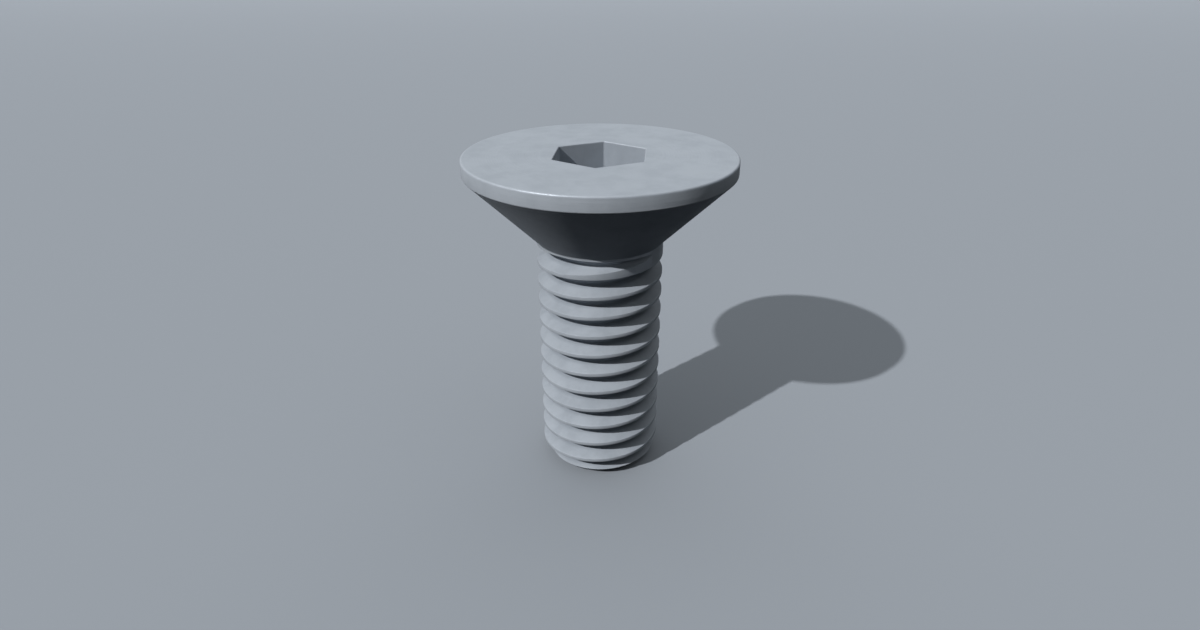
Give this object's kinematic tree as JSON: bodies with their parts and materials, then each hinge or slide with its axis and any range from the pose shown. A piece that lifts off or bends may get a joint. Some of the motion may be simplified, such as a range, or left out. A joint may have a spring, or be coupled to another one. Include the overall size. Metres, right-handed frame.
{
  "type": "countersunk screw",
  "caption": "Countersunk machine screw with a flat head, a hexagon socket and a right-hand metric thread that runs from a bevelled flat end up to the head.",
  "frame": {"origin": "centre of the flat end that the screw stands on", "axes": "+Z along the screw's axis from the flat end up to the head; a corner of the hexagon socket points 25 degrees round from +X, and the groove of the thread runs out under the head from 125 to 35 degrees round from +X towards -Y"},
  "size_m": [0.0125, 0.0124, 0.016],
  "materials": {
    "steel": "plain bluish grey steel, satin, with fine turning marks"
  },
  "bodies": {
    "root": {"screw": "steel"}
  },
  "joints": []
}
